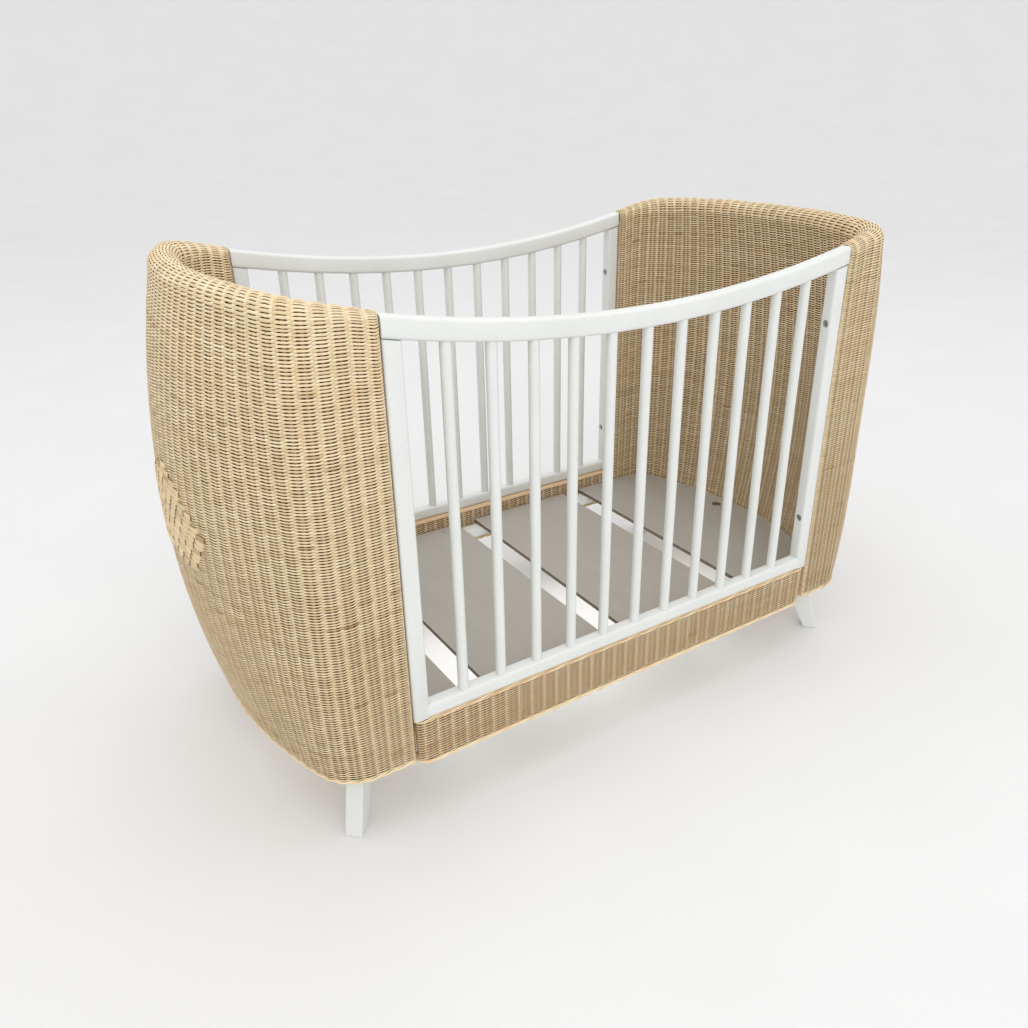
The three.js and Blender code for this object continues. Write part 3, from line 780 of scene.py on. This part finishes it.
def shell_weave(end, side):
    body, slot = "crib_frame", "rattan"
    edges = [0, 52, 104, WALL_ROWS, WALL_ROWS + RIM_ROWS, ROWS - 104, ROWS - 52, ROWS]
    names = ["outer_low", "outer_mid", "outer_high", "rim", "inner_high", "inner_mid", "inner_low"]
    bands = list(zip(names, edges, edges[1:]))
    for name, low, high in bands:
        points, faces, tone = woven(
            shell_point, np.arange(low, high), stake_at, stake_step, 0.0016, shell_rim_lift,
            lambda r: shell_girth(r, side), False,
        )
        stands_for = [f"end_shell_{end}"] if name == "outer_low" else []
        add_object(f"weave_{end}_{name}", turned(points, side), faces, RATTAN, body, stands_for, tone)

    rim = np.arange(WALL_ROWS - 1, WALL_ROWS + RIM_ROWS + 2)
    rows = np.concatenate([np.arange(0, WALL_ROWS - 2, 4), rim, np.arange(rim[-1] + 3, ROWS, 4)])
    points, faces = merged(stake_rods(shell_point, stake_at, rows.astype(float), 0.0017, 0.00075))
    # the stake rods get low tones: painted shade of the recess behind the strands
    tone = np.repeat(0.20 + 0.05 * rng.standard_normal(3 * STAKES), len(rows) * 5)
    add_object(f"stakes_{end}", turned(points, side), faces, RATTAN, body, (), tone)

    # borders: a twisted pair along each lower edge
    s = np.linspace(0.002, 0.998, 341)
    turn = s * STAKES * math.pi
    parts = []
    for row in (-0.62, ROWS + 0.62):
        for phase in (0, math.pi):
            parts.append(twisted(shell_point, s, row, -0.0032, 0.0021, turn + phase, 0.0016))
    # short strands across the wall's upright edges, where it meets the posts
    crown = RIM_AT_RAIL - 0.020
    for z in np.arange(WEAVE_FOOT, crown, ROW):
        for way in (-1, 1):
            ends = [(START + 0.0042, way * half, z) for half in (HALF_OUT - 0.0032, HALF_IN + 0.0085)]
            parts.append(tube_along([ends[0], np.mean(ends, 0), ends[1]], 0.0018, 5))
    # strands that close the underside
    outer, inner = outer_face(s, np.full(len(s), WEAVE_FOOT)), inner_face(s, np.full(len(s), WEAVE_FOOT))
    for share in np.linspace(0.14, 0.86, 8):
        xy = outer + (inner - outer) * share
        parts.append(tube_along(np.concatenate([xy, np.full((len(s), 1), WEAVE_FOOT - 0.0042)], 1), 0.0028))
    points, faces = merged(parts)
    tones = np.clip(0.6 + 0.12 * rng.standard_normal(len(parts)), 0, 1)
    tone = np.repeat(tones, [len(p[0]) for p in parts])
    add_object(f"borders_{end}", turned(points, side), faces, RATTAN, body, (), tone)

    s = np.linspace(0.010, 0.990, 81)
    wall = np.linspace(-0.3, WALL_ROWS, 48)
    rows = np.concatenate([wall, WALL_ROWS + np.linspace(1, RIM_ROWS - 1, 9), (ROWS - wall)[::-1]])
    grid_s, grid_r = np.meshgrid(s, rows, indexing="ij")
    points, faces = painted_hollow(shell_point, grid_s, grid_r, 0.0072)
    add_object(f"hollow_shade_{end}", turned(points, side), faces, SHADE_SHEET, body)


shell_weave("left", -1)
shell_weave("right", 1)


# ---------------------------------------------------------------- panel of flat strips
def flat_strip(point, s, row, half_step, half_row):
    """One flat strip lying on the surface, with its ends tucked in."""
    sig = np.array([-1.0, -0.92, -0.5, 0.0, 0.5, 0.92, 1.0])
    ss = s + sig * half_step
    here, _, up, out, spacing = surface_frame(point, ss, np.full(len(ss), row))
    deep = np.array([-0.0040, -0.0010, 0.0, 0.0003, 0.0, -0.0010, -0.0040])
    wide = half_row * spacing * np.array([0.8, 0.95, 1, 1, 1, 0.95, 0.8])[:, None]
    crown = [(-1, -0.3), (-0.92, 0.5), (-0.5, 0.95), (0, 1.1), (0.5, 0.95), (0.92, 0.5), (1, -0.3)]
    section = np.array([*crown, (0, -0.5)])
    across, raised = section.T[:, None, :, None]
    ring = across * (up * wide)[:, None] + raised * (out * 0.0011)[:, None]
    points = ((here + out * deep[:, None])[:, None] + ring).reshape(-1, 3)
    return points, ring_faces(len(sig), len(section))


PANEL_ROWS = range(50, 106, 2)
parts, painted_slot_shades = [], []
for j in PANEL_ROWS:
    for c in range(STAKES):
        s = stake_at[0] + (c + 0.25 * ((j // 2) % 4)) / STAKES
        if s > 0.99:
            continue
        at = shell_point(np.array([s]), np.array([j + 1.0]))[0]
        if in_patch(np.array(at[1]), np.array(at[2])):
            parts.append(flat_strip(shell_point, s, j + 1.0, 0.485 / STAKES, 1.0))
            # some strip ends get a thin dark rod: painted shade of the slot where the strip tucks in
            if rng.random() < 0.45:
                line = shell_point(np.full(3, s + 0.5 / STAKES), j + np.array([0.2, 1.0, 1.8]))
                painted_slot_shades.append(tube_along(line, 0.0008, 5))
points, faces = merged(parts)
tone = np.repeat(np.clip(0.42 + 0.12 * rng.standard_normal(len(parts)), 0, 1), [len(p[0]) for p in parts])
add_object("strip_panel_left", turned(points, -1), faces, RATTAN, "crib_frame", (), tone)
points, faces = merged(painted_slot_shades)
add_object("strip_slot_shades_left", turned(points, -1), faces, SHADE_SHEET, "crib_frame")

# ---------------------------------------------------------------- aprons
APRON_LOW, APRON_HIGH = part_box("apron_front")
APRON_MID_Y = (APRON_LOW.y + APRON_HIGH.y) / 2
APRON_HALF = (APRON_HIGH.y - APRON_LOW.y) / 2
APRON_FOOT = APRON_LOW.z + 0.006
APRON_ROWS = 17
APRON_ROW = (APRON_HIGH.z - 0.0035 - APRON_FOOT) / APRON_ROWS
APRON_STAKES = 72
NOSE = APRON_HALF


def apron_point(s, row):
    """Point on the skin of an apron: s runs once round it, from the middle of its outer face."""
    s, row = np.broadcast_arrays(np.asarray(s, float), np.asarray(row, float))
    z = APRON_FOOT + row * APRON_ROW
    drop = np.clip((APRON_LOW.z + 0.016 - z) / 0.016, 0, 1)
    half = APRON_HIGH.x - NOSE - 0.013 * (1 - np.sqrt(1 - drop**2))
    length = 4 * half + 2 * math.pi * NOSE
    along = np.mod(s, 1) * length
    a = half
    b = a + math.pi * NOSE
    c = b + 2 * half
    d = c + math.pi * NOSE
    right, left = (along - a) / NOSE, (along - c) / NOSE
    x = np.select(
        [along < a, along < b, along < c, along < d],
        [along, half + NOSE * np.sin(right), half - (along - b), -half - NOSE * np.sin(left)],
        -half + (along - d),
    )
    y = np.select(
        [along < a, along < b, along < c, along < d],
        [-NOSE + 0 * along, -NOSE * np.cos(right), NOSE + 0 * along, NOSE * np.cos(left)],
        -NOSE,
    )
    return np.stack([x, y, z], -1)


def no_lift(r):
    return np.zeros(len(r))


def apron_girth(r):
    return np.full(len(r), 0.215)


for where, way in (("front", -1), ("rear", 1)):
    name = f"apron_{where}"

    def placed(points, way=way):
        points = points if way < 0 else points * np.array([-1, -1, 1.0])
        return points + np.array([0, way * -APRON_MID_Y, 0])

    at = (np.arange(APRON_STAKES) + 0.5) / APRON_STAKES
    points, faces, tone = woven(
        apron_point, np.arange(APRON_ROWS), at, np.full(APRON_STAKES, 1 / APRON_STAKES), 0.0016, no_lift,
        apron_girth, True,
    )
    add_object(f"weave_{name}", placed(points), faces, RATTAN_APRON, "crib_frame", [name], tone)

    parts = stake_rods(apron_point, at, np.linspace(-0.4, APRON_ROWS + 0.3, 9), 0.0015, 0.0007)
    s = np.linspace(0, 1, 601)
    turn = s * APRON_STAKES * math.pi
    for row, radius in ((-0.30, 0.0027), (APRON_ROWS - 0.05, 0.0014)):
        for phase in (0, math.pi):
            parts.append(twisted(apron_point, s, row, -0.0034, radius, turn + phase, 0.0015))
    half = APRON_HIGH.x - 0.020
    for z in (APRON_LOW.z + 0.0030, APRON_HIGH.z - 0.0030):
        for y in np.linspace(-0.0105, 0.0105, 5):
            short = half - (0.010 if z < 0.15 else 0) - abs(y) * 0.4
            line = [(x, y, z) for x in np.linspace(-short, short, 40)]
            parts.append(tube_along(line, 0.0027))
    points, faces = merged(parts)
    tones = np.clip(0.6 + 0.12 * rng.standard_normal(len(parts)), 0, 1)
    # the stake rods come first and get a low tone: painted shade behind the strands
    tones[: 3 * APRON_STAKES] = 0.1
    tone = np.repeat(tones, [len(p[0]) for p in parts])
    add_object(f"borders_{name}", placed(points), faces, RATTAN_APRON, "crib_frame", (), tone)

    s = np.linspace(0, 1, 200, endpoint=False)
    rows = np.linspace(-0.3, APRON_ROWS + 0.2, 8)
    grid_r, grid_s = np.meshgrid(rows, s, indexing="ij")
    points, faces = painted_hollow(apron_point, grid_s, grid_r, 0.0068)
    add_object(f"hollow_shade_{name}", placed(points), faces, SHADE_SHEET, "crib_frame")

# ---------------------------------------------------------------- base
BASE_LOW, BASE_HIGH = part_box("base_board_4")
BASE_TOP = BASE_HIGH.z
HALF_Y = BASE_HIGH.y
END_RADIUS, END_CORNER = 0.757, 0.084
VENT_RADIUS = 0.011
SCREW_XS, SCREW_Y = (0.070, 0.238, 0.388, 0.484), 0.281
SCREW_RADIUS = 0.0035


def slab(name, outline, low, high, material, body, replaces):
    """A flat board of any outline."""
    outline = np.asarray(outline, float)
    count = len(outline)
    bottom = np.concatenate([outline, np.full((count, 1), low)], 1)
    top = np.concatenate([outline, np.full((count, 1), high)], 1)
    points = np.concatenate([bottom, top])
    faces = facing_out(points, ring_faces(2, count))
    return add_object(name, points, faces, material, body, replaces, smooth=False)


def edge_faces(made, material):
    """Gives the upright faces of a board the cut edge's material."""
    made.data.materials.append(material)
    for face in made.data.polygons:
        if abs(face.normal.z) < 0.4:
            face.material_index = 1


def end_outline(inner_x):
    run = math.sqrt((END_RADIUS - END_CORNER) ** 2 - (HALF_Y - END_CORNER) ** 2)
    corner_x = BASE_HIGH.x - END_RADIUS + run
    turn = math.atan2(HALF_Y - END_CORNER, run)
    points = [(inner_x, -HALF_Y)]
    for a in np.linspace(-math.pi / 2, -turn, 16):
        points.append((corner_x + END_CORNER * math.cos(a), END_CORNER * (1 + math.sin(a)) - HALF_Y))
    for a in np.linspace(-turn, turn, 33)[1:-1]:
        points.append((BASE_HIGH.x - END_RADIUS + END_RADIUS * math.cos(a), END_RADIUS * math.sin(a)))
    for a in np.linspace(turn, math.pi / 2, 16):
        points.append((corner_x + END_CORNER * math.cos(a), HALF_Y - END_CORNER * (1 - math.sin(a))))
    points.append((inner_x, HALF_Y))
    return points


for i in (1, 2, 3, 4):
    low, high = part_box(f"base_board_{i}")
    if i in (2, 3):
        outline = [(low.x, low.y), (high.x, low.y), (high.x, high.y), (low.x, high.y)]
        board = slab(f"board_{i}", outline, low.z, high.z, BOARD, "base", [f"base_board_{i}"])
    else:
        side = 1 if i == 4 else -1
        outline = np.array(end_outline(BASE_LOW.x)) * side
        board = slab(f"board_{i}", outline, low.z, high.z, BOARD, "base", [f"base_board_{i}"])
        vent = (side * (BASE_HIGH.x - 0.038), side * 0.032)
        start, end = (*vent, low.z - 0.01), (*vent, high.z + 0.01)
        cut_by(board, rod(f"vent_{i}", start, end, VENT_RADIUS, 36, BOARD, None))
    soften(board, 0.0007, 2, 50)
    edge_faces(board, BOARD_EDGE)

screws = []
for x in SCREW_XS:
    for side in (-1, 1):
        for way in (-1, 1):
            screws.append((side * x, way * SCREW_Y))
for i, (x, y) in enumerate(screws):
    start, end = (x, y, BASE_TOP - 0.003), (x, y, BASE_TOP + 0.0004)
    head = rod(f"board_screw_{i:02d}", start, end, SCREW_RADIUS, 20, ZINC, None, chamfer=0.0004)
    cross = []
    for a, b in ((0.0020, 0.0004), (0.0004, 0.0020)):
        points = [(x - a, y - b), (x + a, y - b), (x + a, y + b), (x - a, y + b)]
        name = f"cross_{i}_{len(cross)}"
        cross.append(slab(name, points, BASE_TOP - 0.0010, BASE_TOP + 0.002, ZINC, None, ()))
    cut_by(head, *cross)
    by_angle(head)
    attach(head, "base")

for where in ("front", "rear"):
    low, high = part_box(f"base_batten_{where}")
    outline = [(low.x, low.y), (high.x, low.y), (high.x, high.y), (low.x, high.y)]
    name = f"base_batten_{where}"
    soften(slab(f"{name}_planed", outline, low.z, high.z, PAINT, "base", [name]), 0.0015)

# ---------------------------------------------------------------- legs and their beams
LEG_FOOT = (0.561, 0.304)
LEG_HALF = 0.015
LEAN_OUT, LEAN_IN = 0.3, 0.5  # how far a leg's outer and inner edges lean in for their height
LEG_SOLE = 0.029
SEAT_RADIUS, HOLE_RADIUS = 0.0085, 0.0045
for end, side_x in (("left", -1), ("right", 1)):
    low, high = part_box(f"leg_beam_{end}")
    cut_x, cut_y = 0.496, high.y - 0.050
    xs, ys = sorted((abs(low.x), abs(high.x))), high.y
    outline = [(xs[0], -ys), (cut_x, -ys), (xs[1], -cut_y), (xs[1], cut_y), (cut_x, ys), (xs[0], ys)]
    outline = [(side_x * x, side_x * y) for x, y in outline]
    name = f"leg_beam_{end}"
    beam = slab(f"{name}_sawn", outline, low.z, high.z, TIMBER, "crib_frame", [name])
    bolts = []
    for where in ("front", "rear"):
        b_low, b_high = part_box(f"leg_bolt_{where}_{end}")
        bx, by = (b_low.x + b_high.x) / 2, (b_low.y + b_high.y) / 2
        bolts.append((where, bx, by, b_low.z, b_high.z))
    tools = []
    for where, bx, by, _, _ in bolts:
        start, stop = (bx, by, high.z - 0.008), (bx, by, high.z + 0.01)
        tools.append(rod(f"seat_{where}", start, stop, SEAT_RADIUS, 28, TIMBER, None))
        start, stop = (bx, by, low.z - 0.01), (bx, by, high.z)
        tools.append(rod(f"hole_{where}", start, stop, HOLE_RADIUS, 24, TIMBER, None))
    cut_by(beam, *tools)
    soften(beam, 0.001, 2)
    for where, bx, by, z_low, z_high in bolts:
        name = f"leg_bolt_{where}_{end}"
        start, stop = (bx, by, z_high - 0.005), (bx, by, z_high)
        head = rod(f"{name}_head", start, stop, 0.007, 28, ZINC, None, chamfer=0.001)
        start, stop = (bx, by, z_high - 0.003), (bx, by, z_high + 0.001)
        cut_by(head, rod("hex", start, stop, 0.0035, 6, ZINC, None))
        by_angle(head)
        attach(head, "crib_frame")
        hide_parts(name)
        start, stop = (bx, by, z_low), (bx, by, z_high - 0.0045)
        by_angle(rod(f"{name}_shank", start, stop, 0.004, 20, ZINC, "crib_frame"))

    for where, side_y in (("front", -1), ("rear", 1)):
        name = f"leg_{where}_{end}"
        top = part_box(name)[1].z
        heel = [(-0.034, 0.010), (-0.0328, 0.0055), (-0.0305, 0.0022), (-0.0265, 0.0004), (-0.022, 0.0)]
        profile = [(0, 0), (-LEAN_OUT * top, top), (-LEG_SOLE - LEAN_IN * top, top), *heel]
        diagonal = np.array([side_x, side_y, 0]) / math.sqrt(2)
        across = np.array([-diagonal[1], diagonal[0], 0])
        foot = np.array([side_x * LEG_FOOT[0], side_y * LEG_FOOT[1], 0])
        side_faces = [
            [foot + diagonal * u + across * offset + np.array([0, 0, z]) for u, z in profile]
            for offset in (-LEG_HALF, LEG_HALF)
        ]
        points = np.array(side_faces).reshape(-1, 3)
        faces = facing_out(points, ring_faces(2, len(profile)))
        shaped = f"{name}_shaped"
        leg = add_object(shaped, points, faces, PAINT, "crib_frame", [name], smooth=False)
        soften(leg, 0.003, 4, 40)


# ---------------------------------------------------------------- studio
# a round floor that is flat for 7 m and then sweeps up at its edge
FLAT_FLOOR, SWEEP_OUT, SWEEP_UP, FLOOR_SIDES = 7, 7, 4.5, 96
lift_angle = np.linspace(0, math.pi / 2, 17)
sweep_radius = np.concatenate([[0.05, 2, 4.5], FLAT_FLOOR + SWEEP_OUT * np.sin(lift_angle)])
sweep_height = np.concatenate([[0, 0, 0], SWEEP_UP * (1 - np.cos(lift_angle))])
around = np.arange(FLOOR_SIDES) * 2 * math.pi / FLOOR_SIDES
points = np.stack(
    [
        sweep_radius[:, None] * np.cos(around),
        sweep_radius[:, None] * np.sin(around),
        np.repeat(sweep_height[:, None], FLOOR_SIDES, 1),
    ],
    -1,
)
i, j = np.meshgrid(np.arange(len(sweep_radius) - 1), np.arange(FLOOR_SIDES), indexing="ij")
a, b = (i * FLOOR_SIDES + j).ravel(), (i * FLOOR_SIDES + (j + 1) % FLOOR_SIDES).ravel()
faces = [np.stack([a, a + FLOOR_SIDES, b + FLOOR_SIDES, b], 1), np.arange(FLOOR_SIDES)[None]]
add_object("studio_floor", points.reshape(-1, 3), faces, floor_material(), None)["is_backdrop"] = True


def area_light(name, place, target, size, size_y, energy):
    """A soft elliptical light that the camera doesn't see."""
    data = bpy.data.lights.new(name, "AREA")
    data.shape = "ELLIPSE"
    data.size = size
    data.size_y = size_y
    data.energy = energy
    made = bpy.data.objects.new(name, data)
    bpy.context.scene.collection.objects.link(made)
    made.location = place
    made.rotation_mode = "QUATERNION"
    made.rotation_quaternion = (Vector(target) - Vector(place)).to_track_quat("-Z", "Y")
    made.visible_camera = False


area_light("key", (-2.6, -8.0, 5.6), (0, 0, 0.4), 7, 7, 250)
area_light("top", (0, 0.4, 4.2), (0, 0, 0.4), 3.6, 3.6, 22)
area_light("under", (0, 0, 0.105), (0, 0, 0), 1.1, 0.40, 1.1)
area_light("inside", (-0.5, -0.6, 1.75), (0.45, 0.3, 0.4), 1.0, 1.0, 1.4)

world = bpy.data.worlds.new("studio")
world.use_nodes = True
world.node_tree.nodes["Background"].inputs["Color"].default_value = (1, 1, 1, 1)
world.node_tree.nodes["Background"].inputs["Strength"].default_value = 0.95
bpy.context.scene.world = world
bpy.context.scene.view_settings.view_transform = "Standard"

CAMERA_AT = (-0.8861, -1.3409, 1.0826)
camera_data = bpy.data.cameras.new("camera")
camera_data.sensor_width = 36
camera_data.lens = 30.326
camera_data.shift_x = -0.01382
camera_data.shift_y = 0.00038
camera_data.clip_end = 60
camera = bpy.data.objects.new("camera", camera_data)
bpy.context.scene.collection.objects.link(camera)
right = Vector((0.83570167, -0.54906807, -0.0112684))
up = -Vector((-0.24605871, -0.35600894, -0.90150582))
back = -Vector((0.4909764, 0.7561626, -0.43262025))
turn = Matrix((right, up, back)).transposed()
camera.matrix_world = Matrix.Translation(CAMERA_AT) @ turn.to_4x4()
bpy.context.scene.camera = camera

low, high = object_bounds()
